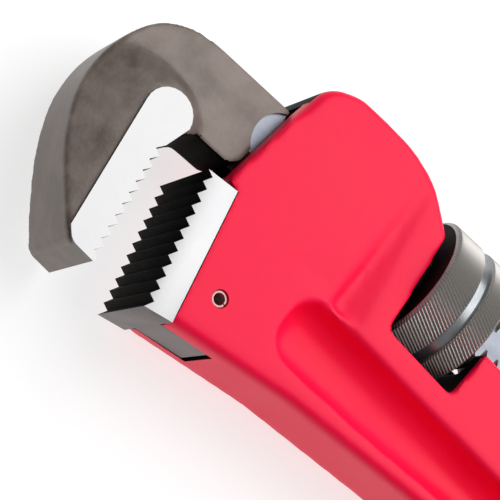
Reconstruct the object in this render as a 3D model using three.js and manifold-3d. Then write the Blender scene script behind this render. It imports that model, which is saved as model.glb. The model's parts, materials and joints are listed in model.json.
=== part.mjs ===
// Pipe wrench, 350 mm long: a cast handle with a jaw housing, a pinned heel jaw,
// a forged hook jaw that slides and rocks through the housing, its adjusting nut,
// and the two springs that hold the hook jaw.
//
// Millimetres. The wrench lies on its side: +X points to the jaw end, +Y to the
// mouth of the jaws, +Z up. Pieces are drawn about the centre of the adjusting nut,
// and the whole wrench is then moved so that the origin is under its middle.

import * as THREE from 'three';
import { mergeVertices } from 'three/addons/utils/BufferGeometryUtils.js';
import Module from 'manifold-3d';

const wasm = await Module();
wasm.setup();

// ---------------------------------------------------------------- driving sizes

const thickness = 26;            // casting and jaws, side to side
const handleReach = 245;         // nut centre to the free end of the handle
const housingReach = 61;         // nut centre to the back of the heel jaw's seat
const shankTilt = 5.5;           // degrees, hook jaw shank against the handle
const rockAngle = 2.5;           // degrees, free rocking of the shank each way
const runningGap = 0.4;          // between parts that slide
const seatGap = 0.3;             // between parts that are fastened together

// Jaws
const jawGap = 12.8;             // between the tooth lines at their middle, as drawn
const hookTeethWidth = 30.4;     // toothed length of the hook jaw
const jawReach = 52.1;           // shank axis to the front end of the hook's teeth
const toothPitch = 3.04;
const toothDepth = 1.7;
const padDepth = 11.4;           // jaw block of the hook, teeth to the top of its pads
const crownDepth = 24.4;         // hook, teeth to the top of its back

// Hook jaw shank and thread
const shankWidth = 17.6;         // front to back, also the thread's outer diameter
const shankThickness = 13;       // between the milled flats
const neckThickness = 14.8;      // forged neck above the flats
const neckFront = 12.3;          // neck's front face, ahead of the shank's axis
const neckRise = 3.8;            // shoulder under the neck, above the housing's seat
const tailLength = 62;           // nut centre to the end of the shank
const threadPitch = 4;
const threadDepth = 1.8;
const threadTop = 26;            // nut centre to the last thread, jaws as drawn

// Adjusting nut
const nutRadius = 18.5;
const nutLength = 19.6;
const nutOffset = 0.9;           // nut's middle above the rocking centre
const nutGrooveWidth = 3;
const nutGrooveDepth = 1.3;
const upperBand = 9.6;           // knurled band on the jaw side of the groove

// Housing and handle
const nutClearance = 1.6;        // nut's rim to the window's inner wall
const windowSlackTop = 0.3;      // more at the back, where the nut leans away
const windowSlackBottom = 3.3;
const railWidth = 6.6;           // flange between the nut window and the side recess
const earBack = 4.6;             // back edge of the two ears under the window
const earLength = 72;            // ears, down from the window
const waistWidth = 30;           // handle, front to back, below the ears
const webThickness = 9;          // I-section web
const recessWidth = 18.6;        // side recess beside the window, front to back
const recessFillet = 5;
const castingRound = 2.4;        // rounded outer edges of the casting
const endThinning = 3.5;         // each side of the handle, from its middle to its end

// Heel jaw fixing
const tongueWidth = 13.5;
const tongueDepth = 21.5;        // front to back
const tongueDrop = 20.4;         // back of the seat to the end of the tongue
const slotSlack = 1.4;           // open slot under the tongue
const pinRadius = 2.2;
const pinBore = 1.2;

// Hanging eye
const eyeRadius = 15.5;
const eyeCentre = 21.5;          // ahead of the nut's centre
const hangHoleRadius = 6.5;

// Springs
const coilRadius = 3.1;          // to the middle of the wire
const coilWire = 1.2;
const coilTurns = 6;
const coilStation = 34;          // nut centre to the coil spring's axis
const coilPocketDepth = 12;
const leafWidth = 10;
const leafThickness = 1;
const leafStation = 40;          // nut centre to the middle of the flat spring
const leafLength = 30;
const leafPocketDepth = 6.2;
const leafPinRadius = 1.5;

// ---------------------------------------------------------------- small helpers

const radians = THREE.MathUtils.degToRad;

/** A closed three.js geometry as a solid that can be joined and cut. */
function solid(geometry) {
  const bare = geometry.clone();
  bare.deleteAttribute('normal');
  bare.deleteAttribute('uv');
  const merged = mergeVertices(bare, 1e-4);
  const vertProperties = new Float32Array(merged.attributes.position.array);
  const triVerts = new Uint32Array(merged.index.array);
  return new wasm.Manifold(new wasm.Mesh({ numProp: 3, vertProperties, triVerts }));
}

/** A solid back as a geometry for a mesh. */
function geometryOf(body) {
  const mesh = body.getMesh();
  const geometry = new THREE.BufferGeometry();
  geometry.setAttribute('position', new THREE.BufferAttribute(mesh.vertProperties, 3));
  geometry.setIndex(new THREE.BufferAttribute(mesh.triVerts, 1));
  geometry.computeVertexNormals();
  return geometry;
}

/** Outline through corners [x, y, radius], each corner rounded by its radius. */
function roundedOutline(corners, segments = 6) {
  const points = [];
  const count = corners.length;
  for (let i = 0; i < count; i += 1) {
    const [x, y, radius = 0] = corners[i];
    const here = new THREE.Vector2(x, y);
    if (radius === 0) {
      points.push(here);
      continue;
    }
    const before = new THREE.Vector2(...corners[(i + count - 1) % count]).sub(here).normalize();
    const after = new THREE.Vector2(...corners[(i + 1) % count]).sub(here).normalize();
    const half = Math.acos(THREE.MathUtils.clamp(before.dot(after), -1, 1)) / 2;
    const middle = before.clone().add(after).normalize();
    const centre = here.clone().addScaledVector(middle, radius / Math.sin(half));
    const start = here.clone().addScaledVector(before, radius / Math.tan(half)).sub(centre);
    const turn = Math.sign(before.cross(after)) * (Math.PI - 2 * half);
    for (let k = 0; k <= segments; k += 1) {
      const point = start.clone().rotateAround(new THREE.Vector2(), (-turn * k) / segments);
      points.push(point.add(centre));
    }
  }
  return points;
}

/** Slab of an outline in the XY plane between two heights. */
function slab(points, low, high) {
  const shape = new THREE.Shape(points);
  const geometry = new THREE.ExtrudeGeometry(shape, { depth: high - low, bevelEnabled: false });
  geometry.translate(0, 0, low);
  return solid(geometry);
}

/** Slab centred on the XY plane. */
function centredSlab(points, height) {
  return slab(points, -height / 2, height / 2);
}

/** Slab whose two faces end in rounded edges. */
function softSlab(points, height, round, segments = 2) {
  const geometry = new THREE.ExtrudeGeometry(new THREE.Shape(points), {
    depth: height - 2 * round,
    bevelThickness: round,
    bevelSize: round,
    bevelOffset: -round,
    bevelSegments: segments,
  });
  geometry.translate(0, 0, round - height / 2);
  return solid(geometry);
}

/** Round bar of a profile [along, radius] turned about the X axis. */
function turned(profile, segments) {
  const points = profile.map(([along, radius]) => new THREE.Vector2(radius, along));
  const geometry = new THREE.LatheGeometry(points, segments);
  geometry.rotateZ(-Math.PI / 2);
  return solid(geometry);
}

/** Cylinder along the Z axis through a point. */
function uprightCylinder(x, y, radius, height, segments = 24) {
  const geometry = new THREE.CylinderGeometry(radius, radius, height, segments);
  geometry.rotateX(Math.PI / 2);
  geometry.translate(x, y, 0);
  return solid(geometry);
}

/** Cylinder along the Y axis between two places. */
function crossCylinder(x, from, to, radius, segments = 20) {
  const geometry = new THREE.CylinderGeometry(radius, radius, to - from, segments);
  geometry.translate(x, (from + to) / 2, 0);
  return solid(geometry);
}

/** Saw teeth with their tips on the line from start to end, roots on its right. */
function toothEdge(start, end, depth) {
  const from = new THREE.Vector2(...start);
  const along = new THREE.Vector2(...end).sub(from);
  const count = Math.round(along.length() / toothPitch);
  const step = along.clone().divideScalar(count);
  const inward = new THREE.Vector2(along.y, -along.x).normalize().multiplyScalar(depth);
  const points = [];
  for (let i = 0; i < count; i += 1) {
    points.push(from.clone().addScaledVector(step, i));
    points.push(from.clone().addScaledVector(step, i + 0.62).add(inward));
  }
  points.push(from.clone().add(along));
  return points;
}

/** Turn a solid drawn along the shank into the wrench's frame. */
function tilted(body) {
  return body.rotate([0, 0, shankTilt]);
}

/** A named mesh with its own material. */
function piece(name, body, colour, roughness, metalness) {
  const material = new THREE.MeshStandardMaterial({ color: colour, roughness, metalness });
  const mesh = new THREE.Mesh(geometryOf(body), material);
  mesh.name = name;
  return mesh;
}

// ---------------------------------------------------------------- shared places

// Half of the room that the rocking shank needs, at a distance from the nut.
const rockRoom = (along) => along * Math.tan(radians(rockAngle)) + runningGap;

// The heel jaw's seat and tooth line on the housing, front to back.
const seatFront = new THREE.Vector2(housingReach - 7.7, 57.7);
const seatBack = new THREE.Vector2(housingReach, 24.4);
const seatAlong = seatBack.clone().sub(seatFront).normalize();
const seatOut = new THREE.Vector2(-seatAlong.y, seatAlong.x);
const heelTeethFront = [housingReach - 0.1, 59.7];
const heelTeethBack = [housingReach + 8.8, 25.9];
const housingTop = housingReach + 3.5;
const pinCentre = [housingReach - 12.5, 45.8];

// The hook jaw's tooth line, in the shank's frame, leaning open to the front.
const hookTeeth = housingReach + 8.2 + jawGap;
const toothLean = 1.1;
const toothFront = [hookTeeth - toothLean, jawReach];
const toothBack = [hookTeeth + toothLean, jawReach - hookTeethWidth];
const neckStart = housingReach + neckRise;
const padEnd = [hookTeeth + 4.8, 15.4];
const padEndRadius = 6;

// The nut window's walls and the handle's edges about it.
const windowTop = nutLength / 2 + nutOffset + windowSlackTop;
const windowBottom = nutLength / 2 - nutOffset + windowSlackBottom;
const windowFront = nutRadius + nutClearance;
const recessBack = windowFront + railWidth;
const recessFront = recessBack + recessWidth;
const channelFront = shankWidth / 2 + 2.8;
const eyeX = -handleReach + eyeRadius;
const earEnd = -windowBottom - earLength;

// ---------------------------------------------------------------- the handle

/** Outer outline of the casting, before the seats are cut square. */
function castingOutline() {
  const waistFront = eyeCentre + waistWidth / 2;
  const waistBack = eyeCentre - waistWidth / 2;
  return roundedOutline([
    [housingReach - 5, 58.3], [20, recessFront + 5.7, 60], [-20, recessFront + 0.9, 120],
    [earEnd - 6, waistFront + 3, 200],
    [eyeX + 24, waistFront - 1.4, 40], [eyeX + 8, eyeCentre + eyeRadius + 0.8, 14],
    [-handleReach, eyeCentre + eyeRadius, eyeRadius - 0.5],
    [-handleReach, eyeCentre - eyeRadius, eyeRadius - 0.5],
    [eyeX + 8, eyeCentre - eyeRadius - 0.8, 14], [eyeX + 24, waistBack + 1.4, 40],
    [earEnd - 22, waistBack + 2.4, 30], [earEnd, earBack, 30], [0, earBack],
    [windowTop - 1, -7, 3.5], [windowTop + 13, -17, 14], [35, -18.9, 20], [housingReach - 9, -17.6, 10],
    [housingReach - 0.4, -12.8, 8], [housingReach + 0.6, -3], [housingReach + 7, 8],
    [housingReach + 11, 24],
  ]);
}

/** Side profile that thins the handle towards its free end. */
function thinning() {
  const half = thickness / 2;
  const start = -60;
  const end = -handleReach - 1;
  const side = centredSlab([
    [housingReach + 20, half], [start, half], [end, half - endThinning],
    [end, endThinning - half], [start, -half], [housingReach + 20, -half],
  ].map(([x, y]) => new THREE.Vector2(x, y)), 200);
  return side.rotate([90, 0, 0]);
}

/** Everything on the jaw side of the heel seat and the housing's top. */
function aboveHousing() {
  return centredSlab([
    [seatFront.x - 2 * seatAlong.x, seatFront.y - 2 * seatAlong.y], [seatBack.x, seatBack.y],
    [housingTop, seatBack.y - 0.6], [housingReach + 0.6, -5], [housingReach + 0.6, -24],
    [housingReach + 40, -24], [housingReach + 40, 80], [seatFront.x - 3, 80],
  ].map(([x, y]) => new THREE.Vector2(x, y)), thickness + 10);
}

/** The window that the adjusting nut turns in, open at the back. */
function nutWindow() {
  return centredSlab(roundedOutline([
    [windowTop, windowFront, 1.2], [windowTop + 2.6, -12], [windowTop + 3, -30],
    [-windowBottom - 2, -30], [-windowBottom - 1.5, earBack], [-windowBottom, windowFront, 1.2],
  ], 3), thickness + 10);
}

/** Recess in one side face, which leaves the I-section's web and two flanges. */
function sideRecess() {
  const end = eyeX + eyeRadius + 8;
  const front = eyeCentre + waistWidth / 2 - 5.2;
  const back = eyeCentre - waistWidth / 2 + 6.4;
  const outline = roundedOutline([
    [housingReach - 28.5, recessBack + 1.4, 7], [housingReach - 27.8, recessFront, 7],
    [0, recessFront - 2.1],
    [earEnd - 6, front + 3], [end, front - 0.5, 7], [end, back + 0.5, 7], [earEnd - 16, back, 60],
    [-45, recessBack, 60],
  ]);
  const geometry = new THREE.ExtrudeGeometry(new THREE.Shape(outline), {
    depth: 6,
    bevelThickness: recessFillet,
    bevelSize: recessFillet,
    bevelOffset: -recessFillet,
    bevelSegments: 3,
  });
  geometry.translate(0, 0, webThickness / 2 + recessFillet);
  return solid(geometry);
}

/** Passage of the shank through the housing, wide enough for it to rock. */
function shankPassage() {
  const half = shankWidth / 2;
  const shoulder = neckStart - 14;
  const top = housingReach + 24;
  const foot = windowTop - 3;
  const outline = [
    [foot, half + rockRoom(foot)], [shoulder - 2, half + rockRoom(shoulder)],
    [shoulder, neckFront + rockRoom(shoulder)], [top, neckFront + rockRoom(top)],
    [top, -half - rockRoom(top)], [foot, -half - rockRoom(foot)],
  ].map(([x, y]) => new THREE.Vector2(x, y));
  return tilted(centredSlab(outline, neckThickness + 2 * runningGap));
}

/** Channel between the ears for the shank's tail. */
function tailChannel() {
  const start = -windowBottom + 4;
  const end = earEnd - 16;
  const deep = channelFront - 3.6;
  return centredSlab(roundedOutline([
    [start, channelFront], [start, -20], [end, -20], [end, earBack - 2], [end + 12, deep, 8],
  ]), shankThickness + 2 * runningGap);
}

/** Space of the heel jaw's tongue in the housing's front, down to its end. */
function tongueSpace(end, gap) {
  const back = seatFront.y - tongueDepth - gap;
  return centredSlab(roundedOutline([
    [end, back, 2], [end, 70], [housingReach + 19, 70], [housingReach + 19, back],
  ], 4), tongueWidth + 2 * gap);
}

/** Pockets of the coil spring, ahead of the shank, and the flat spring, behind it. */
function springPockets() {
  const half = shankWidth / 2;
  const coil = crossCylinder(coilStation, half, half + coilPocketDepth + 2, coilRadius + coilWire);
  const low = leafStation - leafLength / 2 - 2;
  const high = leafStation + leafLength / 2 + 2;
  const wall = -half - leafPocketDepth;
  const leaf = centredSlab(roundedOutline([
    [high, -half], [low, -half], [low, wall, 1], [high, wall, 3],
  ], 3), leafWidth + 2 * runningGap);
  const pin = crossCylinder(low + 7, wall - 3, -half, leafPinRadius + seatGap);
  return tilted(coil.add(leaf).add(pin));
}

/** Cast handle and housing, machined for the pieces that it carries. */
function makeHandle() {
  let body = softSlab(castingOutline(), thickness, castingRound).intersect(thinning());
  const recess = sideRecess();
  body = body.subtract(recess).subtract(recess.rotate([180, 0, 0]).mirror([0, 1, 0]));
  body = body.subtract(aboveHousing()).subtract(nutWindow());
  const slotEnd = housingReach - tongueDrop - slotSlack;
  body = body.subtract(shankPassage()).subtract(tailChannel()).subtract(tongueSpace(slotEnd, seatGap));
  body = body.subtract(springPockets());
  body = body.subtract(uprightCylinder(...pinCentre, pinRadius, thickness + 10));
  body = body.subtract(uprightCylinder(eyeX, eyeCentre, hangHoleRadius, thickness + 10));
  return piece('handle', body, 0xd8263c, 0.35, 0.0);
}

// ---------------------------------------------------------------- the heel jaw

/** Heel jaw: a toothed block on the seat with a tongue down the front slot. */
function makeHeelJaw() {
  const lifted = (place) => place.clone().addScaledVector(seatOut, seatGap);
  const block = centredSlab([
    lifted(seatFront),
    ...toothEdge(heelTeethFront, heelTeethBack, toothDepth),
    lifted(seatBack),
  ], thickness);
  const tongue = tongueSpace(housingReach - tongueDrop, 0).intersect(centredSlab([
    [housingReach - 30, 30], [housingReach - 0.5, 30], [housingReach - 6, 58.3], [housingReach - 30, 52.6],
  ].map(([x, y]) => new THREE.Vector2(x, y)), thickness));
  const body = block.add(tongue).subtract(uprightCylinder(...pinCentre, pinRadius, thickness + 10));
  return piece('heel_jaw', body, 0xdfe1e3, 0.35, 0.85);
}

/** Slotted spring pin that holds the heel jaw's tongue between the cheeks. */
function makeHeelJawPin() {
  const outer = uprightCylinder(...pinCentre, pinRadius - seatGap, thickness - 1);
  const bore = uprightCylinder(...pinCentre, pinBore, thickness);
  const [x, y] = pinCentre;
  const slit = new THREE.BoxGeometry(2 * pinRadius, 0.6, thickness);
  slit.translate(x - pinRadius, y, 0);
  return piece('heel_jaw_pin', outer.subtract(bore).subtract(solid(slit)), 0xb9b4b0, 0.4, 0.9);
}

// ---------------------------------------------------------------- the hook jaw

/** Outline of the hook's flat body, from the neck's shoulder round to the back. */
function hookOutline() {
  const back = -shankWidth / 2;
  const top = hookTeeth + crownDepth;
  const crown = new THREE.SplineCurve([
    [hookTeeth + 6.5, jawReach + 0.7], [top - 11.5, 44.8], [top - 4.8, 34.3], [top - 0.6, 22.5],
    [top - 0.8, 10.3], [top - 5.6, -1.5], [top - 13.5, -7.3], [top - 23, back],
  ].map(([x, y]) => new THREE.Vector2(x, y)));
  const shoulder = roundedOutline([[neckStart, 5], [neckStart, neckFront, 4.6], [hookTeeth, neckFront]], 4);
  return [
    new THREE.Vector2(neckStart - 3, back),
    new THREE.Vector2(neckStart - 3, 5),
    ...shoulder.slice(0, -1),
    new THREE.Vector2(hookTeeth - 4.8, neckFront),
    new THREE.Vector2(hookTeeth - 1.4, 16),
    new THREE.Vector2(toothBack[0] + 2, toothBack[1]),
    new THREE.Vector2(toothFront[0] + 3, toothFront[1] + 0.5),
    ...crown.getPoints(28),
  ];
}

/** Full-width jaw block: teeth, chin and the rounded inner end of its side pads. */
function jawBlock() {
  const points = [
    ...toothEdge(toothBack, toothFront, toothDepth),
    new THREE.Vector2(toothFront[0] + 0.5, jawReach + 1.2),
    new THREE.Vector2(hookTeeth + 6.5, jawReach + 0.8),
    new THREE.Vector2(hookTeeth + padDepth - 3, jawReach - 1.6),
  ];
  for (let k = 0; k <= 8; k += 1) {
    const angle = radians(8 - k * 23);
    points.push(new THREE.Vector2(
      padEnd[0] + padEndRadius * Math.cos(angle),
      padEnd[1] + padEndRadius * Math.sin(angle),
    ));
  }
  return centredSlab(points, thickness);
}

/** Flanks that slope from the block's sides down to the thinner body. */
function flanks() {
  const edge = hookTeeth + padDepth - 3.2;
  const high = thickness / 2 - 0.8;
  const low = neckThickness / 2;
  const width = jawReach - padEnd[1];
  const roof = centredSlab([
    [hookTeeth, -high], [edge, -high], [edge + 17, 1 - low],
    [edge + 17, low - 1], [edge, high], [hookTeeth, high],
  ].map(([x, y]) => new THREE.Vector2(x, y)), width);
  const cone = (side) => {
    const geometry = new THREE.CylinderGeometry(padEndRadius, 3 * padEndRadius, high, 28);
    geometry.rotateX((side * Math.PI) / 2);
    geometry.translate(...padEnd, (side * high) / 2);
    return solid(geometry);
  };
  return roof.rotate([90, 0, 0]).translate([0, padEnd[1] + width / 2, 0]).add(cone(1)).add(cone(-1))
    .intersect(centredSlab(hookOutline(), thickness));
}

/** Space of one milled flat's round run-out on the neck's side. */
function flatRunOut(side) {
  const radius = shankWidth / 2 - 0.6;
  const depth = neckThickness;
  const geometry = new THREE.CylinderGeometry(radius, radius, depth, 32);
  geometry.rotateX(Math.PI / 2);
  geometry.translate(neckStart - 6, 0, (side * (shankThickness + depth)) / 2);
  return solid(geometry);
}

/** Threaded shank with its two milled flats. */
function shank() {
  const crest = shankWidth / 2;
  const root = crest - threadDepth;
  const profile = [[-tailLength, 0], [-tailLength, root - 0.6], [-tailLength + 1.2, root]];
  const rings = Math.floor((threadTop + tailLength - 2) / threadPitch);
  for (let i = 0; i < rings; i += 1) {
    const start = -tailLength + 2 + i * threadPitch;
    profile.push([start, root]);
    profile.push([start + threadPitch * 0.3, crest]);
    profile.push([start + threadPitch * 0.55, crest]);
    profile.push([start + threadPitch * 0.85, root]);
  }
  profile.push([threadTop, root], [threadTop + 1.5, crest], [neckStart + 4, crest], [neckStart + 4, 0]);
  const length = neckStart + tailLength + 20;
  const flats = new THREE.BoxGeometry(length, 2 * shankWidth, shankThickness);
  flats.translate(neckStart + 10 - length / 2, 0, 0);
  return turned(profile, 24).intersect(solid(flats));
}

/** The forged hook jaw, drawn along its shank. */
function makeHookJaw() {
  const head = centredSlab(hookOutline(), neckThickness).subtract(flatRunOut(1)).subtract(flatRunOut(-1));
  const body = head.add(jawBlock()).add(flanks()).add(shank());
  return piece('hook_jaw', body, 0x8b807a, 0.45, 0.7);
}

// ---------------------------------------------------------------- the nut

/** Knurled adjusting nut: two bands with a smooth groove between them. */
function makeNut() {
  const low = nutOffset - nutLength / 2;
  const high = nutOffset + nutLength / 2;
  const grooveTop = high - upperBand;
  const grooveBottom = grooveTop - nutGrooveWidth;
  const bore = shankWidth / 2 + runningGap;
  const chamfer = 0.9;
  const profile = [
    [low, bore + 0.8], [low, nutRadius - chamfer], [low + chamfer, nutRadius],
    [grooveBottom, nutRadius], [grooveBottom, nutRadius - nutGrooveDepth],
    [grooveTop, nutRadius - nutGrooveDepth], [grooveTop, nutRadius], [high - chamfer, nutRadius],
    [high, nutRadius - chamfer], [high, bore + 0.8], [high - 0.8, bore], [low + 0.8, bore],
    [low, bore + 0.8],
  ];
  return piece('adjusting_nut', turned(profile, 48), 0x8a8480, 0.4, 0.8);
}

// ---------------------------------------------------------------- the springs

/** Helix of the coil spring, drawn along Y. */
class Helix extends THREE.Curve {
  constructor(from, to) {
    super();
    this.from = from;
    this.to = to;
  }

  getPoint(t, target = new THREE.Vector3()) {
    const angle = 2 * Math.PI * coilTurns * t;
    const along = THREE.MathUtils.lerp(this.from, this.to, t);
    return target.set(coilStation + coilRadius * Math.cos(angle), along, coilRadius * Math.sin(angle));
  }
}

/** Coil spring in its pocket ahead of the shank, pressing on the shank's front. */
function makeCoilSpring() {
  const from = shankWidth / 2 + coilWire / 2 + seatGap;
  const to = shankWidth / 2 + coilPocketDepth + 1.2 - coilWire / 2;
  const wire = Array.from({ length: 6 }, (_, i) => new THREE.Vector2(
    (coilWire / 2) * Math.cos((i * Math.PI) / 3),
    (coilWire / 2) * Math.sin((i * Math.PI) / 3),
  ));
  const geometry = new THREE.ExtrudeGeometry(new THREE.Shape(wire), {
    steps: coilTurns * 12,
    extrudePath: new Helix(from, to),
    bevelEnabled: false,
  });
  return piece('coil_spring', solid(geometry), 0x9a9a9c, 0.35, 0.9);
}

/** Flat spring behind the shank: held at its lower end, bowed against the shank. */
function makeFlatSpring() {
  const foot = leafStation - leafLength / 2;
  const tip = leafStation + leafLength / 2;
  const wall = -shankWidth / 2 - leafPocketDepth + seatGap;
  const bow = new THREE.SplineCurve([
    [foot, wall], [foot + 9, wall + 0.25], [leafStation + 2, wall + 4.1],
    [tip - 3, wall + 1], [tip, wall + 1.4],
  ].map(([x, y]) => new THREE.Vector2(x, y)));
  const lower = bow.getPoints(16);
  const upper = lower.map((p) => new THREE.Vector2(p.x, p.y + leafThickness)).reverse();
  const hole = crossCylinder(foot + 5, wall - 2, wall + 3, leafPinRadius + seatGap);
  const body = centredSlab([...lower, ...upper], leafWidth).subtract(hole);
  return piece('flat_spring', body, 0x7d8088, 0.35, 0.9);
}

/** Headed pin that fixes the flat spring to the housing's back wall. */
function makeFlatSpringPin() {
  const foot = leafStation - leafLength / 2;
  const floor = -shankWidth / 2 - leafPocketDepth;
  const wall = floor + 2 * seatGap + leafThickness;
  const stem = crossCylinder(foot + 5, floor - 3 + seatGap, wall + 0.5, leafPinRadius);
  const head = crossCylinder(foot + 5, wall, wall + 1.3, leafPinRadius + 1.5);
  return piece('flat_spring_pin', stem.add(head), 0x9a9a9c, 0.4, 0.9);
}

// ---------------------------------------------------------------- the wrench

const wrench = new THREE.Group();
wrench.add(makeHandle(), makeHeelJaw(), makeHeelJawPin());

const alongShank = new THREE.Group();
alongShank.rotation.z = radians(shankTilt);
alongShank.add(makeHookJaw(), makeNut(), makeCoilSpring(), makeFlatSpring(), makeFlatSpringPin());
wrench.add(alongShank);

// The origin is under the middle of the wrench's box.
const box = new THREE.Box3().setFromObject(wrench, true);
const middle = box.getCenter(new THREE.Vector3());
wrench.position.set(-middle.x, -middle.y, -box.min.z);

export default wrench;
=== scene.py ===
"""Pipe wrench: the visible surfaces, finishes and studio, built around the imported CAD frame.

Pieces are modelled in millimetres about the centre of the adjusting nut (+X to the jaw
end, +Y to the mouth of the jaws, +Z up) and then placed in the frame, in metres.
"""

import json
import logging
import math
from dataclasses import dataclass, field
from enum import Enum
from typing import Any, Callable, Optional, Sequence

import bmesh
import bpy
from bmesh.types import BMEdge, BMesh, BMVert
from mathutils import Matrix, Vector


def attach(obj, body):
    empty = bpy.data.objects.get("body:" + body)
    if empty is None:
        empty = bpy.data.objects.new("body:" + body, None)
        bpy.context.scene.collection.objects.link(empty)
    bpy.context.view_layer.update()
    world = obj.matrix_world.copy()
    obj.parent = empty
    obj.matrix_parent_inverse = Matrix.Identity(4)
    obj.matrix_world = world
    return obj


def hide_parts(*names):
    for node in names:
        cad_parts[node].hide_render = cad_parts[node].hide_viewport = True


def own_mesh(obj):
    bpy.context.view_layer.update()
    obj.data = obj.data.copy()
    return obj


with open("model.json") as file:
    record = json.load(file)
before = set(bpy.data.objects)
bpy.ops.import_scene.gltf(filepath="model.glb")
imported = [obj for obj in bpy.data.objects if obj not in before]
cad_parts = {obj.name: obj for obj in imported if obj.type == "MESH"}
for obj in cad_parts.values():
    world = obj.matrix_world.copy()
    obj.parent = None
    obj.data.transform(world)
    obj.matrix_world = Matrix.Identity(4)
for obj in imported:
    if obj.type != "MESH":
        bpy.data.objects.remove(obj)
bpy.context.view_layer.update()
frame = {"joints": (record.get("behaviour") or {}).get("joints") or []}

MM = 0.001
logger = logging.getLogger("pipe_wrench")


class Slot(Enum):
    """The record's material slots."""

    ENAMEL = "casting_enamel"
    GROUND = "ground_jaw_steel"
    PIN = "pin_steel"
    FORGED = "forged_steel"
    KNURLED = "knurled_steel"
    SPRING = "spring_steel"


def joint_named(name: str) -> dict[str, Any]:
    """One joint of the record.

    Args:
        name: the joint's name.

    Returns:
        The joint as the record states it.
    """
    return next(joint for joint in frame["joints"] if joint["name"] == name)


@dataclass(frozen=True)
class Layout:
    """Where drawings in millimetres lie in the frame."""

    pivot: Vector = field(default_factory=lambda: Vector(joint_named("jaw_rock")["pos_m"]))
    shank_axis: Vector = field(default_factory=lambda: Vector(joint_named("jaw_slide")["axis"]))

    @property
    def tilt(self) -> float:
        """Angle of the shank against the handle, in radians."""
        return math.atan2(self.shank_axis.y, self.shank_axis.x)

    @property
    def along_handle(self) -> Matrix:
        """Placing of a piece drawn along the handle."""
        return Matrix.Translation(self.pivot) @ Matrix.Scale(MM, 4)

    @property
    def shank_turn(self) -> Matrix:
        """Turns a drawing along the shank so that it lies in one along the handle."""
        return Matrix.Rotation(self.tilt, 4, "Z")

    @property
    def along_shank(self) -> Matrix:
        """Placing of a piece drawn along the shank."""
        return Matrix.Translation(self.pivot) @ self.shank_turn @ Matrix.Scale(MM, 4)


@dataclass(frozen=True)
class Sizes:
    """Sizes that more than one piece uses, in millimetres."""

    thickness: float = 26.0
    housing_reach: float = 61.0
    running_gap: float = 0.4
    seat_gap: float = 0.3
    rock_angle: float = 2.5
    jaw_gap: float = 12.8
    tooth_pitch: float = 3.04
    tooth_depth: float = 1.7
    tooth_root: float = 0.62
    shank_width: float = 17.6
    shank_thickness: float = 13.0
    neck_thickness: float = 14.8
    neck_front: float = 12.3
    neck_rise: float = 3.8
    tongue_width: float = 13.5
    tongue_depth: float = 21.5
    tongue_drop: float = 20.4
    pin_radius: float = 2.2
    nut_radius: float = 18.5
    nut_length: float = 19.6
    nut_offset: float = 0.9
    leaf_station: float = 40.0
    leaf_length: float = 30.0
    leaf_pocket_depth: float = 6.2
    leaf_width: float = 10.0
    leaf_gauge: float = 1.0
    leaf_pin_radius: float = 1.5
    leaf_pin_offset: float = 5.0
    coil_station: float = 34.0
    coil_radius: float = 3.1
    coil_wire: float = 1.2
    coil_pocket_depth: float = 12.0

    @property
    def half(self) -> float:
        """Half of the housing's thickness."""
        return self.thickness / 2

    @property
    def seat_front(self) -> Vector:
        """Front end of the heel jaw's seat."""
        return Vector((self.housing_reach - 7.7, 57.7))

    @property
    def seat_back(self) -> Vector:
        """Back end of the heel jaw's seat."""
        return Vector((self.housing_reach, 24.4))

    @property
    def pin_centre(self) -> Vector:
        """Axis of the heel jaw pin."""
        return Vector((self.housing_reach - 12.5, 45.8))

    @property
    def hook_teeth(self) -> float:
        """Middle of the hook jaw's tooth line, along the shank."""
        return self.housing_reach + 8.2 + self.jaw_gap

    @property
    def neck_start(self) -> float:
        """Shoulder under the hook jaw's neck, along the shank."""
        return self.housing_reach + self.neck_rise

    @property
    def nut_low(self) -> float:
        """Lower face of the nut, along the shank."""
        return self.nut_offset - self.nut_length / 2

    @property
    def nut_high(self) -> float:
        """Upper face of the nut, along the shank."""
        return self.nut_offset + self.nut_length / 2

    @property
    def leaf_foot(self) -> float:
        """Pinned end of the leaf spring, along the shank."""
        return self.leaf_station - self.leaf_length / 2

    @property
    def leaf_tip(self) -> float:
        """Free end of the leaf spring, along the shank."""
        return self.leaf_station + self.leaf_length / 2

    @property
    def leaf_wall(self) -> float:
        """Back wall of the leaf spring's pocket."""
        return -self.shank_width / 2 - self.leaf_pocket_depth

    def rock_room(self, along: float) -> float:
        """Half of the room that the rocking shank needs at a distance from the nut."""
        return along * math.tan(math.radians(self.rock_angle)) + self.running_gap


LAYOUT = Layout()
SIZES = Sizes()
# Turns of a bar that is drawn along Z: left as it is, or laid along Y.
UPRIGHT = Matrix.Identity(4)
CROSSWISE = Matrix.Rotation(math.pi / 2, 4, "X")
# Length of a tool that cuts right through the wrench, in millimetres.
THROUGH = 60.0


# ------------------------------------------------------------------ shapes and solids


def is_upright(edge: BMEdge) -> bool:
    """Whether an edge stands along Z."""
    span = edge.verts[1].co - edge.verts[0].co
    return math.hypot(span.x, span.y) < 1e-6


def seal(shape: BMesh) -> None:
    """Closes a shape's open ends."""
    bmesh.ops.holes_fill(shape, edges=[edge for edge in shape.edges if edge.is_boundary])


def moved(shape: BMesh, place: Matrix) -> BMesh:
    """Moves a shape and gives it back."""
    bmesh.ops.transform(shape, matrix=place, verts=shape.verts[:])
    return shape


def round_off(shape: BMesh, edges: list[BMEdge], reach: float, segments: int) -> None:
    """Rounds edges by a bevel.

    Args:
        shape: what they belong to.
        edges: the edges.
        reach: how far the rounding reaches into each face.
        segments: steps in the rounding.
    """
    bmesh.ops.bevel(shape, geom=edges, offset=reach, offset_type="OFFSET", segments=segments,
                    profile=0.5, affect="EDGES", clamp_overlap=False, material=-1)


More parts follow.
